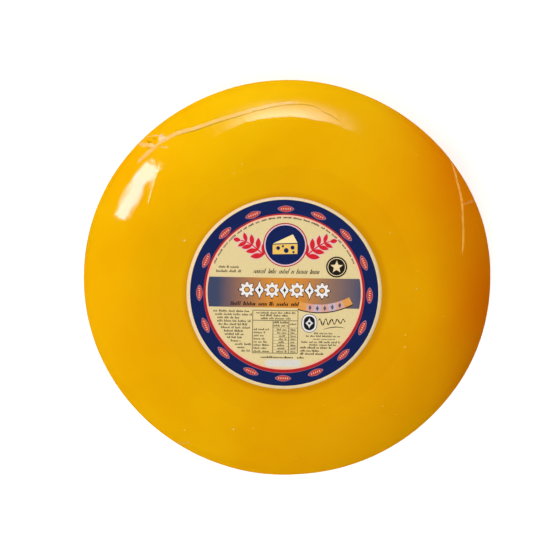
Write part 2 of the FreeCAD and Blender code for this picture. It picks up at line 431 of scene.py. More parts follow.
def film_material(name, haze=0.0, rough=0.05, milk_colour=(0.95, 0.93, 0.86),
                  tint=(1, 1, 1), streak=420.0, ripple=0.30, shine=0.065, edge=0.12, calm=False):
    """Clear plastic film: a see-through sheet whose gloss follows a thin
    sheet's reflectance, the same from both sides, milky by haze. With calm it
    is duller where it clings flat to the face and the paper."""
    m, nt, out = material(name)
    co = object_coords(nt)
    normal = bump(nt, noise(nt, co, 95.0, 2.0, 0.45, 0.4), ripple, 0.0006)
    body = nt.nodes.new("ShaderNodeBsdfTransparent")
    body.inputs["Color"].default_value = (*tint, 1)
    body = body.outputs[0]
    if haze:
        milk = nt.nodes.new("ShaderNodeBsdfDiffuse")
        milk.inputs["Color"].default_value = (*milk_colour, 1)
        fac = remap(nt, noise(nt, co, streak, 3.0, 0.6), 0.25, 0.75, haze * 0.45, haze * 1.5)
        mx = nt.nodes.new("ShaderNodeMixShader")
        nt.links.new(fac, mx.inputs[0])
        nt.links.new(body, mx.inputs[1])
        nt.links.new(milk.outputs[0], mx.inputs[2])
        body = mx.outputs[0]
    gloss = nt.nodes.new("ShaderNodeBsdfAnisotropic")
    gloss.inputs["Color"].default_value = (1, 1, 1, 1)
    gloss.inputs["Roughness"].default_value = rough
    nt.links.new(normal, gloss.inputs["Normal"])
    facing = nt.nodes.new("ShaderNodeLayerWeight")
    facing.inputs["Blend"].default_value = 0.5
    nt.links.new(normal, facing.inputs["Normal"])
    shine = maths(nt, "MULTIPLY_ADD", maths(nt, "POWER", facing.outputs["Facing"], 5.0),
                  edge, shine)
    if calm:
        flat = nt.nodes.new("ShaderNodeCombineXYZ")
        nt.links.new(axis(nt, co, 0), flat.inputs[0])
        nt.links.new(axis(nt, co, 1), flat.inputs[1])
        far = nt.nodes.new("ShaderNodeVectorMath")
        far.operation = "LENGTH"
        nt.links.new(flat.outputs[0], far.inputs[0])
        cling = maths(nt, "MULTIPLY", remap(nt, far.outputs["Value"], 0.066, 0.086, 1.0, 0.0),
                      maths(nt, "GREATER_THAN", axis(nt, co, 2), 0.8 * TOP * MM))
        nt.links.new(maths(nt, "MULTIPLY_ADD", cling, 0.42, rough), gloss.inputs["Roughness"])
        nt.links.new(mix(nt, cling, (1, 1, 1), (0.28, 0.28, 0.28)), gloss.inputs["Color"])
    mx = nt.nodes.new("ShaderNodeMixShader")
    nt.links.new(shine, mx.inputs[0])
    nt.links.new(body, mx.inputs[1])
    nt.links.new(gloss.outputs[0], mx.inputs[2])
    nt.links.new(mx.outputs[0], out.inputs["Surface"])
    return m


# The label is lit to about this much of full white, so inks are this much
# deeper than they look.
PRINT_LIGHT = 1.18


def ink(name, rgb, vary=0.06, rough=0.5, fine=900.0):
    m, nt, out = material(name)
    co = object_coords(nt)
    base = [c / PRINT_LIGHT for c in srgb(*rgb)]
    lo = tuple(c * (1 - vary) for c in base)
    hi = tuple(min(c * (1 + vary), 0.95) for c in base)
    speck = noise(nt, co, fine, 3.0, 0.6)
    colour = ramp(nt, speck, [(0.3, lo), (0.7, hi)])
    broad = noise(nt, co, 40.0, 2.0)
    colour = mix(nt, maths(nt, "MULTIPLY", broad, vary), colour, lo)
    p = nt.nodes.new("ShaderNodeBsdfPrincipled")
    nt.links.new(colour, p.inputs["Base Color"])
    p.inputs["Roughness"].default_value = rough
    p.inputs["Specular IOR Level"].default_value = 0.2
    nt.links.new(bump(nt, noise(nt, co, 1500.0, 2.0), 0.08, 0.0001), p.inputs["Normal"])
    nt.links.new(p.outputs[0], out.inputs["Surface"])
    return m


BAND = [(-50, (50, 66, 102)), (-40, (54, 69, 101)), (-8, (216, 141, 46)),
        (10, (214, 137, 46)), (26, (150, 114, 88)), (45, (76, 80, 108))]


def band_ink():
    """The label's middle band: slate at both ends, warm in the middle."""
    m, nt, out = material("label_band")
    co = object_coords(nt)
    x = axis(nt, co, 0)
    wob = maths(nt, "MULTIPLY_ADD", noise(nt, co, 60.0, 2.0), 0.006, -0.003)
    x = maths(nt, "ADD", x, wob)
    span = maths(nt, "MULTIPLY_ADD", x, 1 / 0.100, 0.5 - LABEL_AT[0] / 100.0, clamp=True)
    stops = [((u + 50) / 100.0, tuple(c / PRINT_LIGHT for c in srgb(*rgb))) for u, rgb in BAND]
    colour = ramp(nt, span, stops)
    colour = mix(nt, maths(nt, "MULTIPLY", noise(nt, co, 700.0, 3.0), 0.10), colour,
                 tuple(c / PRINT_LIGHT for c in srgb(120, 90, 70)))
    p = nt.nodes.new("ShaderNodeBsdfPrincipled")
    nt.links.new(colour, p.inputs["Base Color"])
    p.inputs["Roughness"].default_value = 0.5
    p.inputs["Specular IOR Level"].default_value = 0.2
    nt.links.new(p.outputs[0], out.inputs["Surface"])
    return m


cheese_mat = cheese_material()
film_mat = film_material("film", calm=True)
seam_mat = film_material("film_seam", haze=0.07, rough=0.34, ripple=0.4, shine=0.012,
                         milk_colour=(0.97, 0.88, 0.70))
faint_mat = film_material("film_crease", haze=0.035, rough=0.14, ripple=0.3, shine=0.015,
                          milk_colour=(0.97, 0.95, 0.66))
weld_mat = film_material("film_weld", haze=0.0, rough=0.14, tint=(0.87, 0.87, 0.72), shine=0.0)
knot_mat = film_material("film_gather", haze=0.19, rough=0.5, ripple=0.5, shine=0.001,
                         milk_colour=(1.0, 0.80, 0.52))
side_mat = film_material("film_side_seam", haze=0.20, rough=0.3, ripple=0.3, shine=0.010,
                         milk_colour=(1.0, 0.62, 0.12))
pleat_mat = film_material("film_pleat", haze=0.16, rough=0.16, ripple=0.3, shine=0.015,
                          milk_colour=(0.92, 0.88, 0.36))
fold_mat = film_material("film_side_fold", haze=0.10, rough=0.5, ripple=0.3, shine=0.0,
                         edge=0.03, milk_colour=(1.0, 0.50, 0.14))

INKS = {
    "rim": ink("paper_rim", (238, 214, 164), 0.05),
    "paper": ink("paper_cream", (228, 208, 152), 0.05),
    "navy": ink("ink_navy", (0, 27, 86), 0.12),
    "blush": ink("ink_blush", (246, 190, 158), 0.05),
    "line": ink("ink_line_red", (178, 22, 26), 0.10),
    "edge": ink("ink_pale", (226, 190, 196), 0.06),
    "edge_dim": ink("ink_pale_line", (158, 100, 122), 0.06),
    "oval": ink("ink_rust", (192, 66, 58), 0.16),
    "red": ink("ink_red", (214, 22, 34), 0.08),
    "white": ink("ink_white", (238, 234, 228), 0.04),
    "dark": ink("ink_dark", (38, 20, 10), 0.2),
    "text": ink("ink_text", (84, 74, 44), 0.2),
    "black": ink("ink_black", (28, 24, 20), 0.2),
    "band": band_ink(),
    "orange": ink("ink_orange", (226, 158, 78), 0.07),
    "pink": ink("ink_pink", (218, 164, 146), 0.07),
    "mauve": ink("ink_mauve", (204, 176, 186), 0.07),
    "patch": ink("ink_patch", (224, 225, 226), 0.03),
    "blank": ink("ink_blank", (217, 214, 203), 0.04),
    "patch_mid": ink("ink_patch_mid", (220, 213, 191), 0.03),
    "patch_edge": ink("ink_patch_edge", (224, 212, 176), 0.03),
    "dusk": ink("ink_dusk", (158, 122, 150), 0.06),
    "slate": ink("ink_slate", (84, 90, 104), 0.1),
    "wedge": ink("ink_wedge", (240, 196, 92), 0.06),
    "wedge_top": ink("ink_wedge_top", (248, 226, 160), 0.05),
}
INK_ORDER = list(INKS)


# --------------------------------------------------------------- label's print
# Everything on the label is a generic design in plain shapes: coloured fields,
# rules, leaves, rosettes and rows of short strokes where small print would be.
# Millimetres from the label's middle, x to the right and y to its top.
paint = []           # (polygon, ink), in the order they are laid down
raised = 0.0         # how far the print is moved towards the label's top


def lay(points, name):
    """Lay down a polygon. Its long sides are split, to follow the crown."""
    out = []
    for (x0, y0), (x1, y1) in zip(points, list(points[1:]) + [points[0]]):
        n = max(1, math.ceil(math.hypot(x1 - x0, y1 - y0) / 3.0))
        for i in range(n):
            out.append((float(x0 + (x1 - x0) * i / n), float(y0 + (y1 - y0) * i / n) + raised))
    paint.append((out, name))


def disc(x, y, r, n=96, ry=None, turn=0.0):
    ry = r if ry is None else ry
    c, t = math.cos(math.radians(turn)), math.sin(math.radians(turn))
    out = []
    for i in range(n):
        a = 2 * math.pi * i / n
        u, v = r * math.cos(a), ry * math.sin(a)
        out.append((x + u * c - v * t, y + u * t + v * c))
    return out


def place(points, x, y, turn=0.0, grow=1.0):
    c, t = math.cos(math.radians(turn)), math.sin(math.radians(turn))
    return [(x + (u * c - v * t) * grow, y + (u * t + v * c) * grow) for u, v in points]


def leaf(long, wide, n=7):
    """A pointed leaf from the origin along +x."""
    top = [(long * i / n, wide / 2 * math.sin(math.pi * i / n) ** 0.8) for i in range(1, n)]
    return [(0, 0)] + [(x, -y) for x, y in top] + [(long, 0)] + top[::-1]


def stadium(wide, high, n=10):
    """A rounded block standing on its short side."""
    r = min(wide, high) / 2
    out = []
    for cx, cy, a0 in ((wide / 2 - r, high / 2 - r, 0), (-wide / 2 + r, high / 2 - r, 90),
                       (-wide / 2 + r, -high / 2 + r, 180), (wide / 2 - r, -high / 2 + r, 270)):
        for i in range(n + 1):
            a = math.radians(a0 + 90 * i / n)
            q = (cx + r * math.cos(a), cy + r * math.sin(a))
            if not out or math.hypot(out[-1][0] - q[0], out[-1][1] - q[1]) > 1e-4:
                out.append(q)
    if math.hypot(out[-1][0] - out[0][0], out[-1][1] - out[0][1]) < 1e-4:
        out.pop()
    return out


def stroke(points, widths):
    """A brush stroke along points, as one outline."""
    left, right = [], []
    for i, (x, y) in enumerate(points):
        a, b = points[max(i - 1, 0)], points[min(i + 1, len(points) - 1)]
        dx, dy = b[0] - a[0], b[1] - a[1]
        d = math.hypot(dx, dy) or 1.0
        w = widths[i] / 2
        left.append((x - dy / d * w, y + dx / d * w))
        right.append((x + dy / d * w, y - dx / d * w))
    return left + right[::-1]


def strokes(x0, x1, y, high, name, slant=0.0, weight=0.46, fill=0.86, words=None, tall=0.35):
    """A line of small print, as groups of short upright marks of no alphabet."""
    x = x0
    while x < x1 - 0.4:
        word = random.uniform(1.4, 5.2) if words is None else words.pop(0) if words else x1 - x
        stop = min(x + word, x1)
        while x < stop:
            w = random.uniform(0.7, 1.25) * weight
            h = high * (random.uniform(0.92, 1.0) if random.random() < tall
                        else random.uniform(0.56, 0.66))
            lay([(x, y), (x + w, y), (x + w + slant * h, y + h), (x + slant * h, y + h)], name)
            x += w + weight * random.uniform(0.3, 0.62) * (2 - fill)
        x += high * random.uniform(0.40, 0.66)


RIM, CREAM = LABEL_R, 45.35
lay(disc(0, 0, RIM, 288), "rim")
lay(disc(0, 0.10, 55.70, 288, 56.00), "navy")
raised = 0.40
lay(disc(0, -0.45, 47.75, 240, 48.00), "edge_dim")
lay(disc(0, -0.35, 47.70, 240, 47.85), "line")
lay(disc(0, 0.20, 46.35, 240, 46.50), "blush")
lay(disc(0, 0.20, CREAM, 240, 45.50), "paper")

# sixteen small lozenges round the dark ring
raised = 0.10
for i in range(16):
    a = 90 - 22.5 * i
    x, y = 0.20 + 50.35 * math.cos(math.radians(a)), 50.95 * math.sin(math.radians(a)) - 0.35
    shape = []
    for j in range(28):
        q = 2 * math.pi * j / 28
        u, v = math.cos(q), math.sin(q)
        shape.append((math.copysign(abs(u) ** 1.25, u) * 4.9, math.copysign(abs(v) ** 1.25, v) * 1.98))
    lay(place(shape, x, y, a - 90), "dusk")
    lay(place(shape, x, y, a - 90, 0.90), "oval")
    for k in (-2, -1, 0, 1, 2):
        lay(place([(k * 1.3 - 0.34, -0.5), (k * 1.3 + 0.16, -0.5), (k * 1.3 + 0.34, 0.5),
                   (k * 1.3 - 0.16, 0.5)], x, y, a - 90), "blush")

# fine marks along the top of the inner ring
raised = 0.40
a = 158.0
while a > 24.0:
    stop = a - random.uniform(2.2, 6.5)
    while a > max(stop, 24.0):
        w = random.uniform(0.45, 0.75)
        lo = 44.25
        hi = lo + random.choice((0.75, 0.85, 1.05))
        b = a - math.degrees(w / 45.0)
        lay([(r * math.cos(math.radians(t)), r * math.sin(math.radians(t)) + 0.45)
             for r, t in ((lo, a), (lo, b), (hi, b), (hi, a))],
            "black" if 55 < a < 125 else "text")
        a = b - math.degrees(0.22 / 45.0)
    a -= random.uniform(0.9, 1.6)

# a round medallion with a wedge of cheese, between two sprays of leaves
raised = 0.90
MED = (0.2, 28.4)
for side in (-1, 1):
    stem = []
    for i in range(13):
        t = i / 12
        stem.append((MED[0] + side * (12.6 + 13.6 * t), MED[1] - 6.2 + 8.6 * math.sin(t * 1.45)))
    leaves = []
    for i in (0, 3, 6, 9):
        x, y = stem[i]
        a, b = stem[i + 1], stem[max(i - 1, 0)]
        way = math.degrees(math.atan2(a[1] - b[1], a[0] - b[0]))
        size = 1.0 - 0.03 * i
        leaves.append((x, y, way + 50, 8.0 * size, 3.3 * size))
        leaves.append((x, y, way - 50, 8.0 * size, 3.3 * size))
    leaves.append((*stem[-1], math.degrees(math.atan2(stem[-1][1] - stem[-2][1],
                                                     stem[-1][0] - stem[-2][0])), 4.6, 2.6))
    for x, y, way, long, wide in leaves:
        lay(place(leaf(long + 1.0, wide + 0.9), x - 0.5 * math.cos(math.radians(way)),
                  y - 0.5 * math.sin(math.radians(way)), way), "edge")
    lay(stroke(stem, [1.9 - 0.05 * i for i in range(13)]), "edge")
    for x, y, way, long, wide in leaves:
        lay(place(leaf(long, wide), x, y, way), "red")
    lay(stroke(stem, [0.9 - 0.03 * i for i in range(13)]), "red")
lay(disc(*MED, 13.1, 96), "line")
lay(disc(*MED, 12.45, 96), "edge")
lay(disc(*MED, 11.7, 96), "navy")
lay(place([(-7.4, 0.7), (4.4, 6.4), (7.2, 1.4)], *MED), "wedge_top")
lay(place([(-7.4, 0.1), (7.2, 0.8), (7.2, -5.2), (-7.4, -5.6)], *MED), "wedge")
for x, y, r in ((-4.2, -1.9, 1.15), (0.6, -3.3, 1.45), (4.3, -1.5, 1.2), (-1.4, -0.6 - 0.2, 0.7),
                (4.9, -4.2, 0.7)):
    lay(place(disc(x, y, r, 18), *MED), "navy")

# under it a slanting line of marks, and two short lines at the left
strokes(-18.4, 20.2, 11.3, 3.1, "dark", slant=0.35, weight=0.50, fill=0.55, tall=0.22,
        words=[6.2, 4.6, 5.6, 1.6, 6.4])
strokes(-38.9, -26.6, 14.2, 1.5, "text", weight=0.5, fill=1.1, words=[3.6, 1.0, 4.8])
strokes(-40.4, -26.0, 11.6, 1.7, "text", weight=0.5, fill=1.1, words=[6.8, 4.0])

# the dark roundel
lay(disc(30.7, 15.7, 6.25, 64), "black")
lay(disc(30.7, 15.7, 5.35, 64), "rim")
lay(disc(30.7, 15.7, 4.95, 64), "black")
star = []
for i in range(10):
    r = 3.9 if i % 2 == 0 else 1.7
    star.append((30.7 + r * math.sin(math.pi * i / 5), 15.7 + r * math.cos(math.pi * i / 5)))
lay(star, "rim")

# the band across the middle, its ends on the inner ring
arc = []
for y0, y1, side in ((8.8, -9.2, -1), (-9.2, 8.8, 1)):
    for i in range(15):
        y = y0 + (y1 - y0) * i / 14
        arc.append((side * (math.sqrt(CREAM ** 2 - (y + 0.38) ** 2) - 0.02), y))
lay(arc, "band")

# a row of white rosettes and diamonds along the band
MARKS = [(-22.0, "R"), (-14.6, "D"), (-7.2, "R"), (0.2, "D"), (7.6, "R"), (15.0, "D"), (22.4, "R")]


def rosette(r, n=64):
    return [(r * (0.82 + 0.18 * math.cos(8 * 2 * math.pi * i / n)) * math.cos(2 * math.pi * i / n),
             r * (0.82 + 0.18 * math.cos(8 * 2 * math.pi * i / n)) * math.sin(2 * math.pi * i / n))
            for i in range(n)]


def lozenge(w, h):
    return [(w / 2, 0), (w * 0.16, h * 0.24), (0, h / 2), (-w * 0.16, h * 0.24),
            (-w / 2, 0), (-w * 0.16, -h * 0.24), (0, -h / 2), (w * 0.16, -h * 0.24)]


for x, kind in MARKS:
    if kind == "R":
        lay(place(rosette(5.35), x, 1.3), "dark")
        lay(place(rosette(4.75), x, 1.4), "white")
        lay(disc(x, 1.4, 1.75, 24), "dark")
        lay(disc(x, 1.4, 1.25, 24), "orange")
    else:
        lay(place(lozenge(7.2, 12.0), x, 1.3), "dark")
        lay(place(lozenge(5.8, 10.4), x, 1.4), "white")
        lay(place(lozenge(1.9, 3.4), x, 1.4), "dark")

strokes(-31.8, 8.6, -8.1, 2.5, "dark", slant=0.2, weight=0.66, fill=1.05, tall=0.3,
        words=[5.6, 7.4, 5.0, 2.4, 6.4, 4.0])

# a curved strip of coloured tiles
TILES = ["orange", "pink", "mauve", "pink", "mauve", "pink", "orange"]


def strip_line(x, off):
    y = -9.3 + (x - 20.5) ** 2 / 74.0
    dx, dy = 1.0, (x - 20.5) / 37.0
    d = math.hypot(dx, dy)
    return (x - dy / d * off, y + dx / d * off)


edge_n = 29
xs = [8.8 + (39.6 - 8.8) * i / (edge_n - 1) for i in range(edge_n)]
lay([strip_line(x + 0.1, -2.95) for x in xs] + [strip_line(x + 0.1, 1.8) for x in xs[::-1]], "dark")
for k, name in enumerate(TILES):
    seg = xs[k * 4: k * 4 + 5]
    lay([strip_line(x, -2.3) for x in seg] + [strip_line(x, 2.35) for x in seg[::-1]], name)
    if 0 < k < len(TILES) - 1:
        cx, cy = strip_line((seg[0] + seg[-1]) / 2, 0)
        lay(place([(0.95, 0), (0, 1.7), (-0.95, 0), (0, -1.7)], cx, cy), "slate")

# the ruled table
def rule(x0, y0, x1, y1, w=0.30, name="text"):
    if abs(x1 - x0) > abs(y1 - y0):
        lay([(x0, y0 - w / 2), (x1, y0 - w / 2), (x1, y0 + w / 2), (x0, y0 + w / 2)], name)
    else:
        lay([(x0 - w / 2, y0), (x0 + w / 2, y0), (x0 + w / 2, y1), (x0 - w / 2, y1)], name)


TX0, TX1, TY0, TY1 = -18.4, 8.4, -10.9, -36.8
for y in (TY0, -17.0, TY1):
    rule(TX0, y, TX1, y, 0.40)
for x, y in ((TX0, TY0), (TX1, TY0), (-6.3, -17.0), (3.1, -17.0)):
    rule(x, TY1, x, y, 0.40)
for k, y in enumerate((-12.9, -14.5, -16.3)):
    strokes(TX0 + (2.2, 4.6, 4.8)[k], TX1 - (1.6, 6.0, 4.4)[k], y, 1.3, "text", weight=0.44, fill=1.15)
rows = [-17.0 - 4.6 - 1.9 * i for i in range(9)]
strokes(-5.9, 2.8, -18.7, 1.3, "text", weight=0.44, fill=1.2)
strokes(-5.9, 2.8, -20.6, 1.3, "text", weight=0.44, fill=1.2)
strokes(3.6, 8.0, -19.6, 1.3, "text", weight=0.44, fill=1.2)
rule(-6.3, -21.4, TX1, -21.4, 0.22)
for i, y in enumerate(rows[:8]):
    rule(-6.3, y - 0.25 - 1.5, TX1, y - 0.25 - 1.5, 0.16)
    strokes(TX0 + 0.7, TX0 + random.uniform(7.0, 11.4), y - 1.4, 1.3, "text", weight=0.44, fill=1.15)
    strokes(-4.2 + random.uniform(0, 1.5), 1.6, y - 1.4, 1.2, "text", weight=0.44, fill=1.15)
    strokes(4.2, 7.2, y - 1.4, 1.2, "text", weight=0.44, fill=1.15)

# blocks of small print at the left and right
y = -12.2
for i, end in enumerate((-21.1, -19.2, -26.8, -19.9, -21.0, -20.3, -23.4, -24.0, -25.0, -25.4,
                         -18.9, -23.0, -18.9)):
    start = -math.sqrt(43.7 ** 2 - (y + 0.5) ** 2) + (0.3, 0.8, 1.4, 0.5)[i % 4]
    strokes(start, end, y, 1.4, "text", weight=0.47, fill=1.15)
    y -= 2.0
for x0, x1, y, high, w, dye in ((18.0, 28.8, -24.9, 1.2, 0.42, "text"),
                                (13.4, 33.7, -26.6, 1.2, 0.42, "text"),
                                (17.6, 30.7, -28.3, 0.8, 0.36, "text"),
                                (10.7, 33.6, -30.3, 1.3, 0.44, "text"),
                                (15.3, 31.4, -31.9, 1.2, 0.42, "text"),
                                (10.0, 28.0, -33.7, 1.4, 0.52, "dark"),
                                (10.0, 21.9, -35.6, 1.2, 0.46, "dark"),
                                (10.0, 24.6, -37.5, 1.4, 0.54, "dark")):
    strokes(x0, x1, y, high, dye, weight=w, fill=1.15)
strokes(-13.4, 5.4, -39.9, 1.3, "dark", weight=0.56, fill=1.1, words=[18.8])
strokes(8.2, 12.2, -39.9, 1.3, "dark", weight=0.56, fill=1.1, words=[4.0])

# the small badge and a flourish beside it
for w, h, name in ((9.4, 11.4, "slate"), (8.6, 10.6, "white"), (6.7, 8.7, "slate"), (6.1, 8.1, "black")):
    lay(place(stadium(w, h), 15.2, -18.3), name)
lay(place(lozenge(4.6, 6.2), 15.2, -18.3), "patch")
lay(disc(15.2, -18.3, 0.8, 12), "black")
wave = []
for i in range(60):
    t = i / 59
    wave.append((20.8 + 15.6 * t, -17.6 + (2.1 - 1.0 * t) * math.sin(2 * math.pi * 4.5 * t + 0.5) + 0.8 * t))
lay(stroke(wave, [0.55 + 0.25 * math.sin(i * 1.3) for i in range(60)]), "dark")
tail = [(23.6 + 12.6 * i / 16, -21.9 + 1.5 * math.sin(math.pi * i / 20)) for i in range(17)]
lay(stroke(tail, [0.18 + 0.34 * math.sin(math.pi * i / 16) for i in range(17)]), "dark")

# the plain pale patch at the foot
lay(place(stadium(22.4, 5.0, 6), 0.2, -42.9), "patch_edge")
lay(place(stadium(21.4, 4.3, 6), 0.2, -42.9), "patch_mid")
lay(place(stadium(20.0, 3.3, 6), 0.2, -42.9), "blank")

LABEL_TURN = -0.9          # it was put on a touch askew
PAPER_TOP, PAPER_FOOT = -0.27, -0.46


def on_crown(x, y, out):
    """A point of the wheel's top skin above the label-frame point (x, y)."""
    c, t = math.cos(math.radians(LABEL_TURN)), math.sin(math.radians(LABEL_TURN))
    u = LABEL_AT[0] + x * c - y * t
    v = (LABEL_AT[1] + x * t + y * c) / OVAL
    r = np.hypot(u, v)
    theta = np.arctan2(v, u)
    top = PR[:np.argmax(PZ < TOP - 20)]
    s = np.interp(r, top, S[:len(top)])
    return skin(theta, s, out + lift(theta, s))


def build_label():
    verts, faces, owner = [], [], []
    for points, name in paint:
        start = len(verts)
        verts.extend(points)
        area = sum(a[0] * b[1] - b[0] * a[1] for a, b in zip(points, points[1:] + points[:1]))
        ring = list(range(start, start + len(points)))
        faces.append(ring if area > 0 else ring[::-1])
        owner.append(INK_ORDER.index(name))
    step = 4.0
    for i in range(-15, 16):
        for j in range(-15, 16):
            x, y = i * step + 0.13, j * step * 0.98 + 0.07 + (i % 2) * step / 2
            if math.hypot(x, y) < RIM - 2.0:
                verts.append((x, y))
    v2, _, f2, _, _, origin = delaunay_2d_cdt([Vector(v) for v in verts], [], faces, 1, 1e-4)
    flat = np.array([tuple(v) for v in v2])
    top, n = on_crown(flat[:, 0], flat[:, 1], PAPER_TOP)
    tris, inks = [], []
    for f, src in zip(f2, origin):
        if not src:
            continue
        a, b, c = (flat[i] for i in f[:3])
        if (b[0] - a[0]) * (c[1] - a[1]) - (c[0] - a[0]) * (b[1] - a[1]) < 0:
            f = f[::-1]
        tris.append(tuple(f))
        inks.append(owner[max(src)])
    # the paper's cut edge and its back
    ring = disc(0, 0, RIM, 288)
    ring_top, _ = on_crown(np.array([p[0] for p in ring]), np.array([p[1] for p in ring]), PAPER_TOP)
    index = [int(np.argmin(((top - q) ** 2).sum(1))) for q in ring_top]
    foot, _ = on_crown(np.array([p[0] for p in ring]), np.array([p[1] for p in ring]), PAPER_FOOT)
    base = len(top)
    mid, _ = on_crown(np.zeros(1), np.zeros(1), PAPER_FOOT)
    verts3 = np.concatenate([top, foot, mid])
    paper = INK_ORDER.index("rim")
    for i in range(288):
        j = (i + 1) % 288
        tris.append((index[i], base + i, base + j, index[j]))
        inks.append(paper)
        tris.append((base + j, base + i, base + 288))
        inks.append(paper)
    obj = new_object("label_sheet", verts3, tris, [INKS[k] for k in INK_ORDER], inks)
    return obj


# -------------------------------------------------------------------- pieces
down = np.concatenate([np.linspace(1.5, 70, 40, endpoint=False),
                       np.linspace(70, S_END - 79 + 4, 140, endpoint=False),
                       np.linspace(S_END - 79 + 4, S_END - 3, 12)])
verts, faces = polar_grid(480, down, cheese_out, UNDER)
cheese = new_object("cheese_round", verts, faces, [cheese_mat])
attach(cheese, "root")
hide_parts("cheese_wheel")

film_down = np.concatenate([np.linspace(1.5, 50, 18, endpoint=False),
                            np.linspace(50, 64, 18, endpoint=False),
                            np.linspace(64, 92, 18, endpoint=False),
                            np.linspace(92, 132, 50, endpoint=False),
                            np.linspace(132, S_END - 79 + 4, 60, endpoint=False),
                            np.linspace(S_END - 79 + 4, S_END - 3, 8)])
verts, faces = polar_grid(570, film_down, film_out, 0.0)
film = new_object("film_skin", verts, faces, [film_mat])
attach(film, "root")
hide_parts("film")
film.visible_shadow = False

label = build_label()
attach(label, "root")
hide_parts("label")


# ------------------------------------------------- seams, folds and dog ear
def spline(points, n):
    """Catmull-Rom through (degrees, mm) points, evenly spread."""
    p = np.array([points[0]] + list(points) + [points[-1]], float)
    out = []
    for i in range(1, len(p) - 2):
        for t in np.linspace(0, 1, 12, endpoint=False):
            out.append(0.5 * (2 * p[i] + (p[i + 1] - p[i - 1]) * t
                              + (2 * p[i - 1] - 5 * p[i] + 4 * p[i + 1] - p[i + 2]) * t * t
                              + (3 * p[i] - p[i - 1] - 3 * p[i + 1] + p[i + 2]) * t ** 3))
    out.append(p[-2])
    out = np.array(out)
    xyz, _ = skin(np.radians(out[:, 0]), out[:, 1])
    d = np.concatenate([[0], np.cumsum(np.linalg.norm(np.diff(xyz, axis=0), axis=1))])
    at = np.linspace(0, d[-1], n)
    return np.radians(np.interp(at, d, out[:, 0])), np.interp(at, d, out[:, 1]), d[-1]


